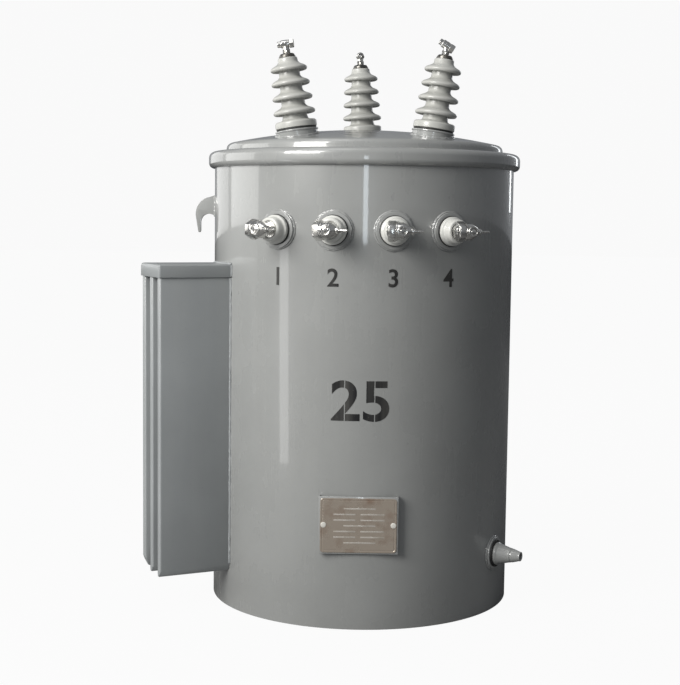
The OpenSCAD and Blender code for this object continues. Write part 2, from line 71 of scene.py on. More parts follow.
# place, sideways lean in degrees and boss height of each high-voltage bushing
HV = {
    "left": ((-HV_SIDE, -HV_FRONT), -8.0, 0.0095),
    "right": ((HV_SIDE, -HV_FRONT), 8.0, 0.0095),
    "rear": ((-0.004, 0.125), -2.5, 0.007),
}
LV_AZ = (-31.65, -10.55, 10.55, 31.65)            # degrees from the front
LV_Z = 0.801
RAD_AZ = -64.0
RAD_TOP = 0.727
HOOK_AZ = {"left": -90.0, "right": 124.0}
HOOK_Z = 0.813
BRACKET_Z = {"lower": 0.170, "upper": 0.760}
BRACKET_HALF_H = 0.048
BRACKET_OUT = 0.0495                              # the bracket's plate, off the wall
DRAIN_AZ, DRAIN_Z = 61.0, 0.121
CAMERA_PLACE = (-0.00765, -2.995, 0.8238)
CAMERA_LENS = 71.39
CAMERA_PITCH, CAMERA_YAW, CAMERA_ROLL = 5.21, 0.78, 0.68

# ---------- sizes in millimetres, as all turned sections are ----------

HV_GASKET = 4.0
HV_FOOT = 29.0                                    # from the porcelain's foot to its lowest shed
SHEDS = 4
SHED_PITCH = 29.2
SHED_D, SHED_STEP = 86.0, 3.6                     # the lowest shed, and how much each next one is less
SHED_RIM_R = 4.3
CORE_D, CORE_TOP_D = 53.0, 40.0
HV_LEN = HV_FOOT + (SHEDS - 1)*SHED_PITCH + 26
CAP_H = 8.0
WALL_BOSS_H = 5.0
WALL_GASKET_H = 3.0
LV_BOSS_D = 75.0
LV_FACE = 23.0                                    # from the porcelain's foot to its recessed face
DRAIN_BOSS_D = 68.0
NOZZLE_Z, NOZZLE_L = 37, 18                       # foot and length of the valve's nozzle
FIN_OFFSETS = (-29.0, 22.0, 73.0)                 # to the rear of the radiator's azimuth
FIN_HALF_T = 8
CAP_SIDES = (-40.4, 84.4)

TANK_STEPS = 256                                  # sides of the turned pieces, from large to small
BOSS_STEPS = 128
GLAZE_STEPS = 96
METAL_STEPS = 64
POST_STEPS = 48

WALL_GASKET_OUT = WALL_BOSS_H*MM                  # metres off the wall, as are the next two
WALL_SEAT_OUT = (WALL_BOSS_H + WALL_GASKET_H)*MM
LV_FACE_OUT = WALL_SEAT_OUT + LV_FACE*MM

# ---------- materials ----------


def socket(tree, name, kind, way, value=None):
    s = tree.interface.new_socket(name=name, in_out=way, socket_type=kind)
    if value is not None:
        s.default_value = value
    return s


def new_group(name, inputs, outputs):
    """A shader node group with its named sockets, and its input and output nodes."""
    tree = bpy.data.node_groups.new(name, "ShaderNodeTree")
    for label, kind, value in inputs:
        socket(tree, label, kind, "INPUT", value)
    for label, kind in outputs:
        socket(tree, label, kind, "OUTPUT")
    return tree, tree.nodes.new("NodeGroupInput"), tree.nodes.new("NodeGroupOutput")


def node(tree, kind, links=None, **settings):
    """Adds a node, sets what settings name and links its inputs to the sockets given."""
    n = tree.nodes.new(kind)
    for key, value in settings.items():
        setattr(n, key, value)
    for key, source in (links or {}).items():
        if isinstance(source, bpy.types.NodeSocket):
            tree.links.new(source, n.inputs[key])
        else:
            n.inputs[key].default_value = source
    return n


def math_node(tree, operation, a, b=0.0, clamp=False):
    return node(tree, "ShaderNodeMath", {0: a, 1: b}, operation=operation, use_clamp=clamp).outputs[0]


def mix_colour(tree, factor, a, b):
    n = node(tree, "ShaderNodeMix", data_type="RGBA", blend_type="MIX")
    for key, source in ((0, factor), (6, a), (7, b)):
        if isinstance(source, bpy.types.NodeSocket):
            tree.links.new(source, n.inputs[key])
        else:
            n.inputs[key].default_value = source
    return n.outputs[2]


def ramp(tree, source, low, high, a=0.0, b=1.0):
    return node(tree, "ShaderNodeMapRange", {0: source, 1: low, 2: high, 3: a, 4: b}).outputs[0]


def sprayed_paint_group():
    """Sprayed enamel: slight mottling, runs of dust down the wall, specks, and orange peel."""
    tree, gin, gout = new_group("sprayed_paint", [
        ("Colour", "NodeSocketColor", (0.5, 0.5, 0.5, 1)),
        ("Dust", "NodeSocketFloat", 0.25),
        ("Peel", "NodeSocketFloat", 0.12),
        ("Gloss", "NodeSocketFloat", 0.22)],
        [("Colour", "NodeSocketColor"), ("Roughness", "NodeSocketFloat"), ("Normal", "NodeSocketVector")])
    place = node(tree, "ShaderNodeTexCoord").outputs["Object"]
    mottle = node(tree, "ShaderNodeTexNoise", {"Vector": place, "Scale": 5.0, "Detail": 5.0,
                                              "Roughness": 0.55}).outputs["Fac"]
    stretched = node(tree, "ShaderNodeMapping", {"Vector": place, "Scale": (30.0, 30.0, 1.6)}).outputs[0]
    runs = node(tree, "ShaderNodeTexNoise", {"Vector": stretched, "Scale": 1.0, "Detail": 4.0,
                                            "Roughness": 0.6}).outputs["Fac"]
    specks = node(tree, "ShaderNodeTexNoise", {"Vector": place, "Scale": 260.0, "Detail": 2.0}).outputs["Fac"]
    peel = node(tree, "ShaderNodeTexNoise", {"Vector": place, "Scale": 420.0, "Detail": 1.0}).outputs["Fac"]
    up = node(tree, "ShaderNodeSeparateXYZ", {0: node(tree, "ShaderNodeNewGeometry").outputs["Normal"]})
    flat = ramp(tree, up.outputs[2], 0.3, 0.95)
    shade = ramp(tree, mottle, 0.3, 0.7, 0.93, 1.05)
    run_shade = ramp(tree, runs, 0.42, 0.72, 0.0, 1.0)
    lift = math_node(tree, "MULTIPLY", run_shade, gin.outputs["Dust"])
    lift = math_node(tree, "ADD", lift, math_node(tree, "MULTIPLY", flat, gin.outputs["Dust"]), clamp=True)
    tone = node(tree, "ShaderNodeVectorMath", {0: gin.outputs["Colour"], 3: shade}, operation="SCALE")
    dusty = mix_colour(tree, math_node(tree, "MULTIPLY", lift, 0.22), tone.outputs[0],
                       (0.56, 0.54, 0.49, 1))
    dots = ramp(tree, specks, 0.71, 0.76)
    colour = mix_colour(tree, math_node(tree, "MULTIPLY", dots, 0.30), dusty, (0.20, 0.19, 0.17, 1))
    rough = math_node(tree, "ADD", gin.outputs["Gloss"], ramp(tree, mottle, 0.3, 0.8, -0.02, 0.06))
    rough = math_node(tree, "ADD", rough, math_node(tree, "MULTIPLY", lift, 0.18), clamp=True)
    bump = node(tree, "ShaderNodeBump", {"Height": peel, "Strength": gin.outputs["Peel"], "Distance": 0.0004})
    tree.links.new(colour, gout.inputs["Colour"])
    tree.links.new(rough, gout.inputs["Roughness"])
    tree.links.new(bump.outputs[0], gout.inputs["Normal"])
    return tree


def worn_metal_group():
    """Bare metal: a fine turned or rolled grain, smudges and darker spots."""
    tree, gin, gout = new_group("worn_metal", [
        ("Colour", "NodeSocketColor", (0.7, 0.7, 0.7, 1)),
        ("Stain", "NodeSocketColor", (0.3, 0.27, 0.22, 1)),
        ("Amount", "NodeSocketFloat", 0.3),
        ("Gloss", "NodeSocketFloat", 0.2),
        ("Grain", "NodeSocketFloat", 0.2),
        ("Spread", "NodeSocketFloat", 55.0)],
        [("Colour", "NodeSocketColor"), ("Roughness", "NodeSocketFloat"), ("Normal", "NodeSocketVector")])
    place = node(tree, "ShaderNodeTexCoord").outputs["Object"]
    smudge = node(tree, "ShaderNodeTexNoise", {"Vector": place, "Scale": gin.outputs["Spread"], "Detail": 5.0,
                                              "Roughness": 0.6}).outputs["Fac"]
    grain = node(tree, "ShaderNodeTexNoise", {"Vector": place, "Scale": 900.0, "Detail": 2.0}).outputs["Fac"]
    mask = math_node(tree, "MULTIPLY", ramp(tree, smudge, 0.5, 0.72), gin.outputs["Amount"])
    colour = mix_colour(tree, mask, gin.outputs["Colour"], gin.outputs["Stain"])
    rough = math_node(tree, "ADD", gin.outputs["Gloss"], math_node(tree, "MULTIPLY", mask, 0.35))
    rough = math_node(tree, "ADD", rough, ramp(tree, smudge, 0.3, 0.7, -0.03, 0.05), clamp=True)
    bump = node(tree, "ShaderNodeBump", {"Height": grain, "Strength": gin.outputs["Grain"],
                                         "Distance": 0.0002})
    tree.links.new(colour, gout.inputs["Colour"])
    tree.links.new(rough, gout.inputs["Roughness"])
    tree.links.new(bump.outputs[0], gout.inputs["Normal"])
    return tree


PAINT = sprayed_paint_group()
METAL = worn_metal_group()


def finish_material(name, group, values, **shader_values):
    """A material with one Principled shader fed by one shared group."""
    mat = bpy.data.materials.new(name)
    mat.use_nodes = True
    tree = mat.node_tree
    shader = tree.nodes["Principled BSDF"]
    effect = node(tree, "ShaderNodeGroup", node_tree=group)
    for key, value in values.items():
        effect.inputs[key].default_value = value
    tree.links.new(effect.outputs["Colour"], shader.inputs["Base Color"])
    tree.links.new(effect.outputs["Roughness"], shader.inputs["Roughness"])
    tree.links.new(effect.outputs["Normal"], shader.inputs["Normal"])
    for key, value in shader_values.items():
        shader.inputs[key.replace("_", " ")].default_value = value
    return mat


tank_paint = finish_material("tank_enamel", PAINT, {
    "Colour": (0.305, 0.31, 0.305, 1), "Dust": 0.12, "Peel": 0.025, "Gloss": 0.26},
    Specular_IOR_Level=0.5, Coat_Weight=1.0, Coat_Roughness=0.045)
radiator_paint = finish_material("radiator_enamel", PAINT, {
    "Colour": (0.285, 0.299, 0.305, 1), "Dust": 0.15, "Peel": 0.10, "Gloss": 0.33},
    Specular_IOR_Level=0.5, Coat_Weight=0.15, Coat_Roughness=0.15)
# The bushings' porcelain is one glaze in two copies of different tone, as painted light and shade: this copy
# is painted darker for the high-voltage bushings
porcelain = finish_material("porcelain_glaze", PAINT, {
    "Colour": (0.47, 0.47, 0.445, 1), "Dust": 0.10, "Peel": 0.03, "Gloss": 0.30},
    Specular_IOR_Level=0.5, Coat_Weight=0.25, Coat_Roughness=0.12)
# This copy of the same glaze is painted lighter (0.64 against 0.47) to stand for the brighter light on the
# low-voltage bushings: painted light
porcelain_painted_lighter = finish_material("lighter_painted_porcelain_glaze", PAINT, {
    "Colour": (0.64, 0.64, 0.61, 1), "Dust": 0.10, "Peel": 0.03, "Gloss": 0.25},
    Specular_IOR_Level=0.5, Coat_Weight=0.3, Coat_Roughness=0.08)
bright_metal = finish_material("tinned_metal", METAL, {
    "Colour": (0.82, 0.81, 0.79, 1), "Amount": 0.4, "Gloss": 0.12, "Grain": 0.1}, Metallic=1.0)
cap_metal = finish_material("cap_steel", METAL, {
    "Colour": (0.58, 0.58, 0.56, 1), "Amount": 0.5, "Gloss": 0.3, "Grain": 0.25}, Metallic=1.0)
plate_metal = finish_material("plate_steel", METAL, {
    "Colour": (0.43, 0.37, 0.31, 1), "Stain": (0.22, 0.15, 0.11, 1), "Amount": 1.0, "Gloss": 0.22,
    "Grain": 0.2, "Spread": 26.0}, Metallic=0.5)
rubber = finish_material("gasket_rubber", METAL, {
    "Colour": (0.018, 0.018, 0.018, 1), "Stain": (0.06, 0.055, 0.05, 1), "Amount": 0.5, "Gloss": 0.55,
    "Grain": 0.5})

SLOT_FINISH = {
    "tank_paint": tank_paint, "radiator_paint": radiator_paint, "porcelain": porcelain,
    "terminal_metal": bright_metal, "cap_metal": cap_metal, "plate_metal": plate_metal, "gasket": rubber,
}


def coat_frame():
    """Gives every CAD node the finish of its slot."""
    for row in frame["record"]["subparts"]:
        mesh = NODES[row["node"]].data
        mesh.materials.clear()
        mesh.materials.append(SLOT_FINISH[row["material_slot"]])


stencil_black = finish_material("stencil_black", PAINT, {
    "Colour": (0.012, 0.012, 0.013, 1), "Dust": 0.5, "Peel": 0.10, "Gloss": 0.30},
    Specular_IOR_Level=0.4)
dark_metal = finish_material("dull_fittings", METAL, {
    "Colour": (0.16, 0.155, 0.145, 1), "Amount": 0.6, "Gloss": 0.3, "Grain": 0.3}, Metallic=1.0)
rivet_metal = finish_material("rivet_metal", METAL, {
    "Colour": (0.80, 0.78, 0.72, 1), "Amount": 0.3, "Gloss": 0.3, "Grain": 0.2}, Metallic=0.3)
row_metal = finish_material("plate_engraving", METAL, {
    "Colour": (0.60, 0.56, 0.51, 1), "Amount": 0.9, "Gloss": 0.25, "Grain": 0.2}, Metallic=0.4)
fitting_metal = finish_material("plated_fittings", METAL, {
    "Colour": (0.78, 0.77, 0.74, 1), "Stain": (0.10, 0.095, 0.08, 1), "Amount": 0.75, "Gloss": 0.19,
    "Grain": 0.05}, Metallic=1.0)

coat_frame()

# ---------- ways of making a piece ----------


def deselect():
    bpy.ops.object.select_all(action="DESELECT")


def pick(*pieces):
    deselect()
    for p in pieces:
        p.select_set(True)
    bpy.context.view_layer.objects.active = pieces[-1]


def edit(mode="VERT"):
    bpy.ops.object.mode_set(mode="EDIT")
    bpy.ops.mesh.select_mode(type=mode)


def leave():
    bpy.ops.object.mode_set(mode="OBJECT")


def settle(piece, place=None):
    """Puts a piece in its place and writes the place into its mesh."""
    pick(piece)
    if place is not None:
        piece.matrix_world = place
    bpy.ops.object.transform_apply(location=True, rotation=True, scale=True)
    return piece


def apply_modifier(piece, kind, **settings):
    pick(piece)
    mod = piece.modifiers.new(kind.lower(), kind)
    for key, value in settings.items():
        setattr(mod, key, value)
    bpy.ops.object.modifier_apply(modifier=mod.name)


def copy_piece(piece, place=None):
    """A copy with a mesh of its own, moved by place."""
    pick(piece)
    bpy.ops.object.duplicate(linked=False)
    return settle(bpy.context.object, place)


def join(*pieces):
    pick(*pieces)
    if len(pieces) > 1:
        bpy.ops.object.join()
    return bpy.context.object


def keep(piece, name, slot, *nodes, finish=None, smooth=35):
    """Names a finished piece, coats it, smooths it and hides the nodes it stands for."""
    piece.name = name
    piece.data.name = name
    piece.data.materials.clear()
    piece.data.materials.append(finish or SLOT_FINISH[slot])
    pick(piece)
    bpy.ops.object.shade_smooth_by_angle(angle=math.radians(smooth))
    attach(piece, "root")
    if nodes:
        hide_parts(*nodes)


def rounded(corners, arc_steps=5):
    """A section in millimetres whose corners (r, z, radius) are rounded off; the ends stay sharp."""
    out = []
    for i, (r, z, bend) in enumerate(corners):
        here = Vector((r, z))
        if bend <= 0 or i in (0, len(corners) - 1):
            out.append((r, z))
            continue
        before = (Vector(corners[i - 1][:2]) - here).normalized()
        after = (Vector(corners[i + 1][:2]) - here).normalized()
        half = before.angle(after)/2
        if half > math.radians(88):
            out.append((r, z))
            continue
        start, end = here + before*(bend/math.tan(half)), here + after*(bend/math.tan(half))
        centre = here + (before + after).normalized()*(bend/math.sin(half))
        for k in range(arc_steps + 1):
            ray = (start - centre).lerp(end - centre, k/arc_steps).normalized()*bend
            out.append(tuple(centre + ray))
    return out


def turned(section, steps=96, place=None):
    """A section of radii and heights in millimetres, spun round the local Z axis."""
    deselect()
    bpy.ops.mesh.primitive_plane_add(size=0.001)
    piece = bpy.context.object
    edit()
    bpy.ops.mesh.merge(type="CENTER")
    bpy.ops.transform.translate(value=(section[0][0]*MM, 0, section[0][1]*MM))
    for (r0, z0), (r1, z1) in zip(section, section[1:]):
        bpy.ops.mesh.extrude_vertices_move(
            TRANSFORM_OT_translate={"value": ((r1 - r0)*MM, 0, (z1 - z0)*MM)})
    bpy.ops.mesh.select_all(action="SELECT")
    bpy.ops.mesh.spin(steps=steps, angle=2*math.pi, center=(0, 0, 0), axis=(0, 0, 1))
    bpy.ops.mesh.select_all(action="SELECT")
    bpy.ops.mesh.remove_doubles(threshold=2e-6)
    bpy.ops.mesh.dissolve_degenerate(threshold=1e-6)
    bpy.ops.mesh.select_all(action="SELECT")
    bpy.ops.mesh.normals_make_consistent(inside=False)
    leave()
    return settle(piece, place)


def hex_bar(across, z0, z1, chamfer=1.2):
    """A hexagonal bar with chamfered ends and softened edges; across its corners, in millimetres."""
    deselect()
    bpy.ops.mesh.primitive_cylinder_add(vertices=6, radius=across/2*MM, depth=(z1 - z0)*MM,
                                        location=(0, 0, (z0 + z1)/2*MM))
    piece = settle(bpy.context.object)
    edit("FACE")
    bpy.ops.mesh.select_all(action="DESELECT")
    leave()
    for p in piece.data.polygons:
        p.select = abs(p.normal.z) > 0.9
    edit("FACE")
    bpy.ops.mesh.inset(thickness=chamfer*MM, depth=0)
    leave()
    for v in piece.data.vertices:
        if math.hypot(v.co.x, v.co.y) > (across/2 - 0.3*chamfer)*MM:
            v.co.z += (1 if v.co.z < (z0 + z1)/2*MM else -1)*0.6*chamfer*MM
    apply_modifier(piece, "BEVEL", width=0.12*chamfer*MM + 0.0003, segments=2, limit_method="ANGLE",
                   angle_limit=math.radians(20))
    return settle(piece)


def bevelled_copy(node_name, width, segments=3, angle=30):
    """A copy of a CAD node, its triangles merged into faces and its edges rounded."""
    source = NODES[node_name]
    pick(source)
    bpy.ops.object.duplicate(linked=False)
    piece = bpy.context.object
    edit()
    bpy.ops.mesh.select_all(action="SELECT")
    bpy.ops.mesh.remove_doubles(threshold=2e-6)
    bpy.ops.mesh.dissolve_limited(angle_limit=math.radians(1.0))
    leave()
    apply_modifier(piece, "BEVEL", width=width, segments=segments, limit_method="ANGLE",
                   angle_limit=math.radians(angle), harden_normals=False)
    return settle(piece)


def bead(points, radius, seed, closed=False, sides=2):
    """A run of weld along points, in metres, with the uneven surface of a hand-laid bead."""
    data = bpy.data.curves.new("bead", "CURVE")
    data.dimensions = "3D"
    spline = data.splines.new("POLY")
    spline.points.add(len(points) - 1)
    for p, co in zip(spline.points, points):
        p.co = (*co, 1)
    spline.use_cyclic_u = closed
    data.bevel_depth = radius
    data.bevel_resolution = sides
    data.use_fill_caps = True
    piece = bpy.data.objects.new("bead", data)
    bpy.context.scene.collection.objects.link(piece)
    pick(piece)
    bpy.ops.object.convert(target="MESH")
    piece = bpy.context.object
    edit()
    bpy.ops.mesh.select_all(action="SELECT")
    bpy.ops.mesh.remove_doubles(threshold=1e-6)
    bpy.ops.transform.vertex_random(offset=0.22*radius, uniform=0.3, normal=0.6, seed=seed)
    bpy.ops.mesh.normals_make_consistent(inside=False)
    leave()
    return settle(piece)


def wall_place(az, z, out=0.0):
    """A frame on the wall: local Z points away from the tank and Y points up."""
    a = math.radians(az)
    m = Matrix(((math.cos(a), 0, math.sin(a), 0), (math.sin(a), 0, -math.cos(a), 0), (0, 1, 0, 0),
                (0, 0, 0, 1)))
    m.translation = Vector((math.sin(a), -math.cos(a), 0))*(TANK_R + out) + Vector((0, 0, z))
    return m


def cover_place(which, up=0.0):
    """The frame of a high-voltage bushing, up metres above its boss."""
    (x, y), lean, boss = HV[which]
    z = DOME_Z - DOME_R + math.sqrt(DOME_R**2 - x*x - y*y)
    return (Matrix.Translation((x, y, z)) @ Matrix.Rotation(math.radians(lean), 4, "Y")
            @ Matrix.Translation((0, 0, boss + up)))


def radiator_foot(aside, out=0.0005):
    """The point out metres off the wall that lies aside metres to the rear of the radiator's azimuth."""
    a = math.radians(RAD_AZ)
    outwards = Vector((math.sin(a), -math.cos(a), 0))
    rearwards = Vector((outwards.y, -outwards.x, 0))
    return outwards*math.sqrt((TANK_R + out)**2 - aside**2) + rearwards*aside


def upright_run(x, y, low, step, count):
    """Points of a straight weld that climbs from low."""
    return [(x, y, low + step*k) for k in range(count)]


# ---------- tank and cover ----------


def tank_shell():
    """The wall with its flange, and the bottom plate with the weld that holds it."""
    r, inner, top = TANK_R/MM, (TANK_R - WALL_T)/MM, TANK_TOP/MM
    flange_r, flange_low = r + 8, top - 6
    wall = turned(rounded([
        (inner, 0, 0), (r, 0, 1), (r, flange_low, 0), (flange_r, flange_low, 0.5), (flange_r, top, 0.5),
        (inner, top, 0), (inner, 0, 0)], 2), TANK_STEPS)
    keep(wall, "tank_shell", "tank_paint", "tank_wall")
    low, high, edge = 17, 23, inner - 0.3
    bottom = turned(rounded([(0, low, 0), (edge, low, 0.5), (edge, high, 0.5), (0, high, 0)], 2),
                    BOSS_STEPS)
    weld_r = 0.3192
    ring = [(weld_r*math.cos(t*math.pi/90), weld_r*math.sin(t*math.pi/90), 0.0165) for t in range(180)]
    keep(join(bead(ring, 0.002, seed=3, closed=True), bottom), "bottom_plate", "tank_paint", "tank_floor")


def dome_height(r, drop=0.0):
    """Height in millimetres of the dome at a radius in millimetres, on a sphere drop mm smaller."""
    big = DOME_R/MM - drop
    return DOME_Z/MM - DOME_R/MM + math.sqrt(big*big - r*r)


def domed_cover():
    """The cover: a shallow dome, a rounded shoulder, an upright step and a lip under the band."""
    step, top, t, shoulder = STEP_R/MM, TANK_TOP/MM, 5.0, 12.0
    big = DOME_R/MM
    cx = step - shoulder
    cz = DOME_Z/MM - big + math.sqrt((big - shoulder)**2 - cx*cx)
    lean = math.asin(cx/(big - shoulder))
    outside = [(r, dome_height(r)) for r in (0, 20, 45, 75, 105, 135, 165, 195, 222, 245, 265, 280)]
    for k in range(9):
        a = lean + (math.pi/2 - lean)*k/8
        outside.append((cx + shoulder*math.sin(a), cz + shoulder*math.cos(a)))
    outside += [(step, top + 8.5), (step + 0.9, top + 6.6), (step + 2.5, top + 6), (333, top + 6), (333, top),
                (step - t, top)]
    inside = [(step - t, cz)]
    for k in range(1, 6):
        a = math.pi/2 - (math.pi/2 - lean)*k/5
        inside.append((cx + (shoulder - t)*math.sin(a), cz + (shoulder - t)*math.cos(a)))
    inside += [(r, dome_height(r, t)) for r in (270, 240, 200, 150, 100, 50, 0)]
    keep(turned(outside + inside, TANK_STEPS), "domed_cover", "tank_paint", "cover", smooth=30)


def clamping_band():
    """The rolled band that grips the lips of the cover and the tank."""
    top = TANK_TOP/MM
    low, high, edge = top - 17, top + 18, 338.0
    section = rounded([
        (325.2, low, 0), (edge, low, 11), (edge, high, 13), (302.0, high, 1.0), (302.0, high - 1.2, 0),
        (300.4, high - 1.6, 0), (300.4, top + 6.3, 0), (333.3, top + 6.3, 0), (333.3, top - 6.3, 0),
        (325.2, top - 6.3, 0), (325.2, low, 0)], 8)
    keep(turned(section, TANK_STEPS), "clamping_band", "tank_paint", "cover_band", smooth=28)


# ---------- high-voltage bushings ----------


def turret(which):
    """The welded turret under a high-voltage bushing, with its bead on the cover."""
    boss = HV[which][2]
    section = rounded([(0, -boss/MM - 13, 0), (42, -boss/MM - 13, 0), (42, -4, 1), (44, -3, 0.6),
                       (44, 0, 1), (0, 0, 0)], 3)
    place = cover_place(which)
    body = turned(section, BOSS_STEPS, place)
    ring = []
    for k in range(120):
        a = 2*math.pi*k/120
        edge = [place @ Vector((0.0425*math.cos(a), 0.0425*math.sin(a), s*MM)) for s in range(8, -40, -1)]
        ring.append(next(p for p in edge
                         if p.z <= DOME_Z - DOME_R + math.sqrt(DOME_R**2 - p.x**2 - p.y**2) + 0.001))
    weld = bead(ring, 0.0026, seed=5, closed=True, sides=4)
    keep(join(weld, body), "turret_" + which, "tank_paint", "hv_boss_" + which)


def core_radius(s):
    """Radius of the porcelain's core, s millimetres above its foot."""
    return (CORE_D + (CORE_TOP_D - CORE_D)*s/HV_LEN)/2


def shed_outline(i):
    """One weather shed from its shallow underside round the thick rim to its sloping top."""
    s = HV_FOOT + i*SHED_PITCH
    r = (SHED_D - i*SHED_STEP)/2
    root = core_radius(s)
    w = r - root
    rim = SHED_RIM_R
    under = w - 1.5*rim
    out = [(core_radius(s - 3.5), s - 3.5), (root + 0.5, s + 1.0), (root + 0.18*under, s + 3.4),
           (root + 0.4*under, s + 4.2), (root + 0.62*under, s + 3.4), (root + 0.85*under, s + 1.6)]
    for k in range(12):
        a = math.radians(-125 + 185*k/11)
        out.append((r - rim + rim*math.cos(a), s + rim - 1.4 + rim*math.sin(a)))
    out += [(root + 0.78*w, s + 8.0), (root + 0.62*w, s + 9.4), (root + 0.48*w, s + 10.5),
            (root + 0.35*w, s + 11.5), (root + 0.22*w, s + 12.7), (root + 0.12*w, s + 14.0),
            (root + 0.04*w, s + 15.6), (core_radius(s + 17), s + 17.8)]
    return out


def hv_porcelain():
    """The porcelain of the high-voltage bushings: flange, four sheds and a rounded top."""
    section = rounded([(0, 0, 0), (42.5, 0, 1.5), (42.5, 14, 4.5), (core_radius(14) + 7, 14.4, 2),
                       (core_radius(18) + 1.2, 17.4, 3), (core_radius(24), 24, 0)], 5)
    for i in range(SHEDS):
        section += shed_outline(i)
    section += [(20.0, HV_LEN - 2.4), (19.6, HV_LEN - 1.1), (18.8, HV_LEN - 0.3), (17.4, HV_LEN), (0, HV_LEN)]
    first = turned(section, GLAZE_STEPS)
    for which in HV:
        keep(copy_piece(first, cover_place(which, HV_GASKET*MM)), "porcelain_" + which, "porcelain",
             "hv_bushing_" + which, smooth=50)
    bpy.data.objects.remove(first)


def hv_gaskets():
    section = rounded([(0, 0, 0), (41.0, 0, 1.2), (41.0, HV_GASKET, 1.2), (0, HV_GASKET, 0)], 4)
    rings = [turned(section, GLAZE_STEPS, cover_place(which)) for which in HV]
    keep(join(*rings), "cover_gaskets", "gasket", "hv_gaskets")


def hv_cap():
    """Cap washer, crimped cap and lock nut above the porcelain."""
    cap = turned(rounded([(0, 0, 0), (17, 0, 0.6), (17, 3.2, 0.6), (15.6, 3.6, 0.3), (15.6, 5.2, 1.2),
                          (13.2, CAP_H, 0.8), (0, CAP_H, 0)], 3), METAL_STEPS)
    first = join(hex_bar(25, 3.5, 7.9, 1.2), cap)
    for which in HV:
        keep(copy_piece(first, cover_place(which, (HV_GASKET + HV_LEN)*MM)), "cap_" + which, "cap_metal",
             "hv_cap_" + which, finish=dark_metal)
    bpy.data.objects.remove(first)


def thread(r, z0, z1, pitch, depth=0.5):
    """The section of a threaded length."""
    out = []
    z = z0
    while z < z1 - pitch*0.6:
        out += [(r - depth, z), (r, z + pitch/2)]
        z += pitch
    return out + [(r - depth, z1)]


def hv_clamp(which, az, dip=0.0):
    """A threaded post that carries a crosswise clamp barrel with its hexagonal nut."""
    post = turned([(0, 0), (8, 0)] + thread(7.8, 0.2, 9, 1.6) + [(6.6, 9.5), (6.2, 20), (0, 20)], POST_STEPS)
    nut = hex_bar(15.9, 1.5, 6.5, 1.0)
    half = 17.0
    bore = 4.5
    barrel = turned(rounded([
        (bore, -half, 0), (5.2, -half, 0.3), (6.17, -half + 1, 0.5), (6.17, -half + 6.8, 0.4),
        (8.1, -half + 8.2, 0.8), (8.1, 6.6, 0.5), (7.8, 6.9, 0), (bore, 6.9, 0), (bore, -half, 0)], 3),
        POST_STEPS)
    grip = turned(rounded([(bore, 6.8, 0), (8.2, 6.8, 0.3), (9.5, 8.2, 0.4), (9.5, 15.6, 0.4),
                           (8.2, half, 0.3), (bore, half, 0), (bore, 6.8, 0)], 2), 6)
    knurl = turned(rounded([(7.9, -3, 0), (8.45, -2.4, 0.2), (8.45, 2.6, 0.2), (7.9, 3.2, 0),
                            (7.9, -3, 0)], 2), 24)
    across = (Matrix.Translation((0, 0, 0.020)) @ Matrix.Rotation(math.radians(az), 4, "Z")
              @ Matrix.Rotation(math.radians(90 + dip), 4, "X"))
    for part in (barrel, grip, knurl):
        settle(part, across)
    whole = settle(join(nut, barrel, grip, knurl, post), cover_place(which, (HV_GASKET + HV_LEN + CAP_H)*MM))
    keep(whole, "clamp_" + which, "terminal_metal", "hv_terminal_" + which, finish=fitting_metal, smooth=30)


# ---------- low-voltage bushings ----------


def wall_ring(az, z, radius, out):
    """Points of a circle that lies on the wall round a fitting."""
    ring = []
    for k in range(GLAZE_STEPS):
        a = 2*math.pi*k/GLAZE_STEPS
        u, v = radius*math.cos(a), radius*math.sin(a)
        depth = math.sqrt((TANK_R + out)**2 - u*u) - TANK_R
        ring.append(wall_place(az, z) @ Vector((u, v, depth)))
    return ring


def wall_boss(name, node_name, az, z, d, seed):
    """A round boss let into the wall, with the bead round its foot."""
    inside = -4.4
    section = rounded([(0, inside, 0), (d/2, inside, 0), (d/2, WALL_BOSS_H, 1.4), (0, WALL_BOSS_H, 0)], 5)
    body = turned(section, GLAZE_STEPS, wall_place(az, z))
    weld = bead(wall_ring(az, z, (d/2 + 0.8)*MM, 0.0006), 0.0024, seed, closed=True, sides=4)
    keep(join(weld, body), name, "tank_paint", node_name)


def wall_gasket(r, az, z):
    section = rounded([(0, 0, 0), (r, 0, 0.9), (r, WALL_GASKET_H, 0.9), (0, WALL_GASKET_H, 0)], 4)
    return turned(section, GLAZE_STEPS, wall_place(az, z, WALL_GASKET_OUT))


def lv_set():
    """Boss, gasket, porcelain and clamp of each low-voltage bushing."""
    section = rounded([
        (0, 0, 0), (29, 0, 1), (29, 6.5, 2.2), (25.5, 9, 1.5), (24.6, 12, 1.5), (24, 26, 4.2),
        (18.6, 26, 0.8), (17.5, 25, 0.8), (17.5, 23, 0), (0, 23, 0)], 5)
    glaze = turned(section, GLAZE_STEPS)
    clamp = lv_clamp()
    gaskets = []
    for i, az in enumerate(LV_AZ, 1):
        wall_boss(f"weld_ring_{i}", f"lv_boss_{i}", az, LV_Z, LV_BOSS_D, 10 + i)
        gaskets.append(wall_gasket(30.5, az, LV_Z))
        # this porcelain takes the copy of the glaze that is painted lighter, as painted light
        keep(copy_piece(glaze, wall_place(az, LV_Z, WALL_SEAT_OUT)), f"porcelain_{i}", "porcelain",
             f"lv_bushing_{i}", finish=porcelain_painted_lighter, smooth=50)
        keep(copy_piece(clamp, wall_place(az, LV_Z, LV_FACE_OUT)), f"clamp_{i}", "terminal_metal",
             f"lv_terminal_{i}", finish=fitting_metal, smooth=28)
    keep(join(*gaskets), "wall_gaskets", "gasket", "lv_gaskets")
    bpy.data.objects.remove(glaze)
    bpy.data.objects.remove(clamp)


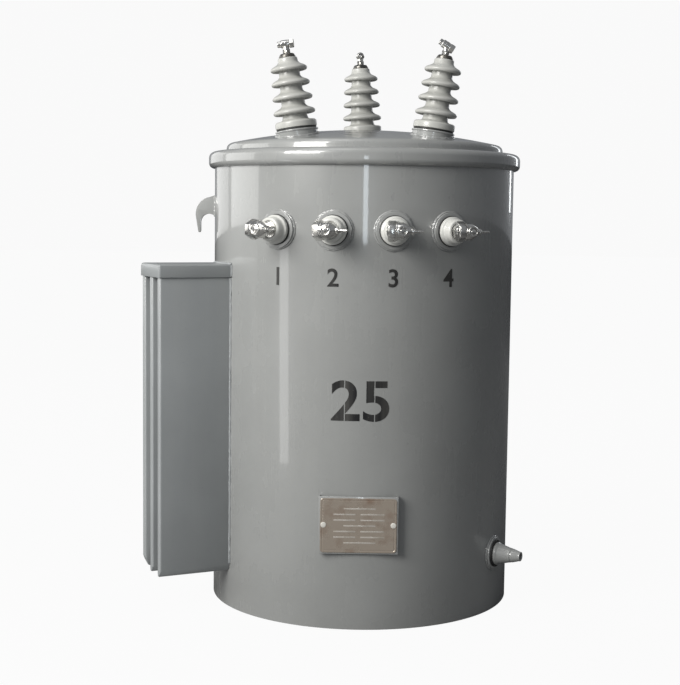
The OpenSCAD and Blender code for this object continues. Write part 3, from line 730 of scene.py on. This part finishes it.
def lv_clamp():
    """Stud, washer and nut in the porcelain's face, and the crosswise cable clamp they carry."""
    washer = turned(rounded([(0, 0, 0), (16, 0, 0.5), (16, 2.4, 0.9), (0, 2.4, 0)], 3), METAL_STEPS)
    nut = hex_bar(27, 2.3, 10.5, 1.6)
    stud = turned([(0, 0)] + thread(8.0, 2.0, 30, 1.9) + [(0, 33)], POST_STEPS)
    yoke = turned(rounded([(0, 18, 0), (11, 18, 1.5), (11, 30, 1.5), (0, 30, 0)], 3), POST_STEPS)
    head = hex_bar(41, -25, -8.5, 3.0)
    face = turned(rounded([(0, -27.4, 0), (7, -27.4, 1.5), (10, -25.6, 1.2), (15.5, -25.2, 0.6),
                           (15.5, -24, 0), (0, -24, 0)], 4), METAL_STEPS)
    collar = turned(rounded([(0, -9.5, 0), (18.4, -9.5, 0.8), (18.4, -6.5, 0.8), (0, -6.5, 0)], 3),
                    METAL_STEPS)
    body = turned(rounded([(0, -7, 0), (17, -7, 0.6), (17, 5.5, 1.6), (15.4, 7.2, 1), (15.2, 9, 1),
                           (8.2, 19, 1.5), (7, 20.2, 0.5), (0, 20.2, 0)], 4), METAL_STEPS)
    small = hex_bar(15, 20, 26, 1.0)
    tail = turned(rounded([(0, 25.5, 0), (4.2, 25.5, 0.5), (4.2, 28, 0.5), (2.5, 29, 0.4), (2.3, 43, 0.8),
                           (0, 45, 0)], 3), 24)
    screw = turned(rounded([(0, 44, 0), (11, 44, 0), (11, 50.6, 1.4), (8.0, 51.4, 0.8), (7.4, 49.4, 0.6),
                            (5.2, 49.2, 0.4), (4.8, 51.0, 0.8), (0, 51.2, 0)], 4), POST_STEPS)
    across = Matrix.Translation((0, 0, 0.033)) @ Matrix.Rotation(math.radians(90 - 13), 4, "Y")
    for part in (head, face, collar, body, small, tail):
        settle(part, across)
    return join(washer, nut, yoke, screw, head, face, collar, body, small, tail, stud)


# ---------- radiator ----------


def radiator():
    """Three fins with a weld down each side of their root, and the cap with a weld along the wall."""
    for i, where in enumerate(("front", "middle", "rear")):
        name = "radiator_fin_" + where
        fin = bevelled_copy(name, 0.0016, 3, 25)
        beads = []
        for side in (-FIN_HALF_T, FIN_HALF_T):
            foot = radiator_foot((FIN_OFFSETS[i] + side)*MM)
            beads.append(bead(upright_run(foot.x, foot.y, 0.094, 0.004, 152), 0.0032,
                              seed=20 + i*2 + (side > 0)))
        keep(join(*beads, fin), "fin_" + where, "radiator_paint", name, smooth=40)
    cap = bevelled_copy("radiator_cap", 0.0010, 2, 40)
    welds = []
    for side in CAP_SIDES:
        foot = radiator_foot(side*MM)
        welds.append(bead(upright_run(foot.x, foot.y, 0.701, 0.0035, 8), 0.0025, seed=31))
    top = [radiator_foot((-40 + 124*k/39)*MM, 0.001) for k in range(40)]
    welds.append(bead([(p.x, p.y, RAD_TOP + 0.0003) for p in top], 0.0028, seed=33))
    keep(join(*welds, cap), "radiator_top", "radiator_paint", "radiator_cap", smooth=45)


# ---------- fittings on the wall ----------


def lifting_hook(which):
    """A hook plate, rounded at its edges, with a weld on either side of its root."""
    hook = bevelled_copy("lifting_hook_" + which, 0.0011, 3, 40)
    place = wall_place(HOOK_AZ[which], HOOK_Z, 0.0006)
    beads = []
    for side in (-6.5, 6.5):
        run = [place @ Vector((side*MM, (12 + 2.4*k)*MM, -0.00006)) for k in range(20)]
        beads.append(bead(run, 0.0028, seed=41 + (side > 0)))
    keep(join(*beads, hook), "hook_" + which, "tank_paint", "lifting_hook_" + which, smooth=35)


def pole_bracket(which):
    """A hanging bracket, with welds where its webs meet the wall and its plate."""
    name = "pole_bracket_" + which
    low = BRACKET_Z[which] - BRACKET_HALF_H
    plate = bevelled_copy(name, 0.0012, 3, 40)
    beads = []
    for x, meets_plate in ((-0.035, False), (-0.043, True), (0.035, False), (0.043, True)):
        y = math.sqrt((TANK_R + 0.0008)**2 - x*x)
        beads.append(bead(upright_run(x, y, low, 0.004, 25), 0.003, seed=51))
        if meets_plate:
            beads.append(bead(upright_run(x, TANK_R + BRACKET_OUT, low, 0.004, 25), 0.0026, seed=55))
    keep(join(*beads, plate), name.replace("pole_", "hanging_"), "tank_paint", name, smooth=35)


def drain():
    """The drain's boss and gasket, and its tapered valve with a nozzle."""
    wall_boss("drain_ring", "drain_boss", DRAIN_AZ, DRAIN_Z, DRAIN_BOSS_D, 61)
    keep(wall_gasket(28.5, DRAIN_AZ, DRAIN_Z), "drain_seal", "gasket", "drain_gasket")
    mouth = NOZZLE_Z + NOZZLE_L
    section = rounded([
        (0, 0, 0), (24, 0, 1), (24, 4.6, 1.5), (21.5, 8, 4), (15.6, 30, 3), (15, 34, 0.5), (13.5, 34.6, 0.3),
        (13.5, 36.5, 0.3), (14.5, 37.2, 0.5), (11.6, mouth - 8, 2), (10.0, mouth - 3, 1), (10.0, mouth, 0.8),
        (8, mouth, 0.6), (6.5, mouth - 1.6, 0.5), (6.5, NOZZLE_Z, 0), (0, NOZZLE_Z, 0)], 4)
    body = turned(section, 72)
    flats = hex_bar(27.6, 36.8, 41.5, 1.0)
    keep(settle(join(flats, body), wall_place(DRAIN_AZ, DRAIN_Z, WALL_SEAT_OUT)), "drain_cock", "tank_paint",
         "drain_valve", smooth=40)


def upright_plane(width, height):
    """A plane that faces the front, centred on the origin."""
    deselect()
    bpy.ops.mesh.primitive_plane_add(size=1.0, rotation=(math.radians(90), 0, 0))
    piece = bpy.context.object
    piece.scale = (width, height, 1)
    return settle(piece)


def nameplate_set():
    """The stand-off holder, the plate with its raised border, its blank rows and its two rivets."""
    holder = bevelled_copy("nameplate_holder", 0.0008, 2, 40)
    keep(holder, "plate_holder", "tank_paint", "nameplate_holder")
    low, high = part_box("nameplate")
    cx, cz = (low.x + high.x)/2, (low.z + high.z)/2
    w, h = high.x - low.x, high.z - low.z
    plate = upright_plane(w, h)
    edit()
    bpy.ops.mesh.select_all(action="SELECT")
    bpy.ops.mesh.bevel(offset=0.007, segments=6, affect="VERTICES")
    bpy.ops.mesh.select_mode(type="FACE")
    bpy.ops.mesh.select_all(action="SELECT")
    for thickness, depth in ((0.0006, 0.0003), (0.0030, 0), (0.0006, -0.00035), (0.0007, 0),
                             (0.0006, 0.00035)):
        bpy.ops.mesh.inset(thickness=thickness, depth=depth)
    leave()
    apply_modifier(plate, "SOLIDIFY", thickness=0.0011, offset=-1)
    settle(plate, Matrix.Translation((cx, low.y + 0.00035, cz)))
    row_pitch, row_high, top_row = 0.0115, 0.0030, 0.034
    one_run, two_runs = [(-0.030, 0.034)], [(-0.050, -0.006), (0.004, 0.052)]
    rows = []
    for k in range(7):
        z = cz + top_row - row_pitch*k
        for x0, x1 in two_runs if k % 3 else one_run:
            line = upright_plane(x1 - x0, row_high)
            edit("FACE")
            bpy.ops.mesh.select_all(action="SELECT")
            bpy.ops.mesh.inset(thickness=0.0005, depth=0.00018)
            leave()
            apply_modifier(line, "SOLIDIFY", thickness=0.0002, offset=-1)
            settle(line, Matrix.Translation((cx + (x0 + x1)/2, low.y + 0.0001, z)))
            rows.append(line)
    keep(join(*rows), "plate_rows", "plate_metal", finish=row_metal)
    rivets = []
    rivet_x = 0.070
    for x in (-rivet_x, rivet_x):
        dome = rounded([(0, 0, 0), (5.6, 0, 0.3), (5.6, 0.7, 0.5), (3.4, 1.15, 2), (0, 1.25, 0)], 4)
        place = Matrix.Translation((cx + x, low.y + 0.0002, cz + 0.001))
        rivets.append(turned(dome, 32, place @ Matrix.Rotation(math.radians(90), 4, "X")))
    keep(join(*rivets), "plate_rivets", "plate_metal", finish=rivet_metal, smooth=25)
    keep(plate, "rating_plate", "plate_metal", "nameplate", smooth=25)


def painted_number(text, name, az, z_low, height, width=None, bridges=()):
    """A number painted on the curved wall, its foot at z_low, with gaps where a stencil has bridges."""
    strip, gap = 0.004, 0.0011                    # width of the strips it bends in, half a bridge
    deselect()
    bpy.ops.object.text_add()
    mark = bpy.context.object
    mark.data.body = text
    mark.data.size = 1.0
    mark.data.align_x = "CENTER"
    mark.data.offset = 0.016
    bpy.ops.object.convert(target="MESH")
    mark = bpy.context.object
    xs = [v.co.x for v in mark.data.vertices]
    ys = [v.co.y for v in mark.data.vertices]
    tall = height/(max(ys) - min(ys))
    wide = tall if width is None else width/(max(xs) - min(xs))
    shift = Matrix.Translation((-(max(xs) + min(xs))/2, -min(ys), 0))
    settle(mark, Matrix.Diagonal((wide, tall, 1, 1)) @ shift)
    edit()
    half = max(v.co.x for v in mark.data.vertices)
    cut = -half + strip
    while cut < half:
        bpy.ops.mesh.select_all(action="SELECT")
        bpy.ops.mesh.bisect(plane_co=(cut, 0, 0), plane_no=(1, 0, 0))
        cut += strip
    for x in bridges:
        for edge in (x - gap, x + gap):
            bpy.ops.mesh.select_all(action="SELECT")
            bpy.ops.mesh.bisect(plane_co=(edge, 0, 0), plane_no=(1, 0, 0))
    leave()
    for p in mark.data.polygons:
        p.select = any(abs(p.center.x - x) < gap for x in bridges)
    edit("FACE")
    bpy.ops.mesh.delete(type="FACE")
    leave()
    settle(mark, wall_place(az, z_low, 0.03))
    edit()
    bpy.ops.mesh.select_all(action="SELECT")
    bpy.ops.mesh.remove_doubles(threshold=1e-6)
    leave()
    a = math.radians(az)
    out = Vector((math.sin(a), -math.cos(a), 0))
    for v in mark.data.vertices:
        flat = v.co - out*v.co.dot(out)
        side = Vector((flat.x, flat.y, 0)).length
        v.co = flat + out*math.sqrt((TANK_R + 0.0004)**2 - side**2)
    keep(mark, name, "tank_paint", finish=stencil_black, smooth=60)


def painted_marks():
    """The bushings' numbers and the large number in the middle of the wall."""
    for i, az in enumerate(LV_AZ, 1):
        painted_number(str(i), f"mark_{i}", az, 0.690, 0.036)
    painted_number("25", "mark_number", -0.5, 0.423, 0.082, width=0.116, bridges=(-0.031, 0.029))


tank_shell()
domed_cover()
clamping_band()
for side in HV:
    turret(side)
hv_porcelain()
hv_gaskets()
hv_cap()
hv_clamp("left", 90)
hv_clamp("right", 90, 25)
hv_clamp("rear", 180)
lv_set()
radiator()
for side in HOOK_AZ:
    lifting_hook(side)
for level in BRACKET_Z:
    pole_bracket(level)
drain()
nameplate_set()
painted_marks()

# ---------- floor, light and camera ----------


def floor():
    """A pale floor that looks like lit paper to the camera and gives back little light otherwise."""
    deselect()
    bpy.ops.mesh.primitive_circle_add(vertices=96, radius=30, fill_type="NGON", location=(0, 0, 0))
    disc = bpy.context.object
    disc.name = "floor"
    mat = bpy.data.materials.new("floor_paper")
    mat.use_nodes = True
    tree = mat.node_tree
    tree.nodes.clear()
    paper = node(tree, "ShaderNodeBsdfDiffuse", {"Color": (0.18, 0.18, 0.18, 1)})
    glow = node(tree, "ShaderNodeEmission", {"Color": (1, 1, 1, 1), "Strength": 1.025})
    path = node(tree, "ShaderNodeLightPath")
    seen = math_node(tree, "MULTIPLY", path.outputs["Is Camera Ray"], 0.93)
    mix = node(tree, "ShaderNodeMixShader", {0: seen, 1: paper.outputs[0], 2: glow.outputs[0]})
    node(tree, "ShaderNodeOutputMaterial", {0: mix.outputs[0]})
    disc.data.materials.append(mat)


def world():
    w = bpy.data.worlds.new("studio")
    bpy.context.scene.world = w
    w.use_nodes = True
    tree = w.node_tree
    tree.nodes.clear()
    seen = node(tree, "ShaderNodeBackground", {"Color": (0.95, 0.95, 0.95, 1), "Strength": 1.0})
    lit = node(tree, "ShaderNodeBackground", {"Color": (0.56, 0.58, 0.61, 1), "Strength": 0.40})
    path = node(tree, "ShaderNodeLightPath")
    mix = node(tree, "ShaderNodeMixShader", {0: path.outputs["Is Camera Ray"], 1: lit.outputs[0],
                                             2: seen.outputs[0]})
    node(tree, "ShaderNodeOutputWorld", {0: mix.outputs[0]})


def softbox(name, az, away, z, width, height, watts, colour=(1, 1, 1), aim=0.6):
    """An area lamp at an azimuth from the front, away metres out, that faces the object."""
    a = math.radians(az)
    place = Vector((away*math.sin(a), -away*math.cos(a), z))
    lamp = bpy.data.lights.new(name, "AREA")
    lamp.shape = "RECTANGLE"
    lamp.size = width
    lamp.size_y = height
    lamp.energy = watts
    lamp.color = colour
    obj = bpy.data.objects.new(name, lamp)
    bpy.context.scene.collection.objects.link(obj)
    obj.location = place
    obj.rotation_euler = (Vector((0, 0, aim)) - place).to_track_quat("-Z", "Y").to_euler()


def lights():
    # name, azimuth, distance, height, width, tallness, power
    softbox("key", -44, 4.2, 2.5, 2.2, 2.4, 236, (1, 0.99, 0.96))
    softbox("left_strip", -52.5, 1.09, 0.30, 0.13, 0.84, 0.72, aim=0.36)
    softbox("left_window", -100, 4.2, 1.55, 2.6, 1.8, 30, (1, 1, 0.98), aim=1.0)
    softbox("rear_window", -136, 4.2, 1.55, 2.2, 1.8, 12, (1, 1, 0.98), aim=1.0)
    softbox("front_strip", 1.2, 3.5, 0.80, 0.20, 0.60, 2.6, (0.84, 0.93, 1), aim=0.80)
    softbox("top", -40, 1.6, 4.2, 2.0, 2.0, 20, aim=1.0)
    softbox("right_strip", 146, 4.2, 1.7, 0.3, 1.8, 6, (0.95, 0.98, 1))


def camera():
    cam = bpy.data.cameras.new("camera")
    cam.sensor_width = 36
    cam.lens = CAMERA_LENS
    obj = bpy.data.objects.new("camera", cam)
    bpy.context.scene.collection.objects.link(obj)
    pitch, yaw, roll = (math.radians(turn) for turn in (CAMERA_PITCH, CAMERA_YAW, CAMERA_ROLL))
    turn = Matrix.Rotation(yaw, 4, "Z") @ Matrix.Rotation(math.radians(90) - pitch, 4, "X")
    obj.matrix_world = Matrix.Translation(CAMERA_PLACE) @ turn @ Matrix.Rotation(roll, 4, "Z")
    bpy.context.scene.camera = obj


floor()
world()
lights()
camera()
bpy.context.scene.view_settings.view_transform = "Standard"
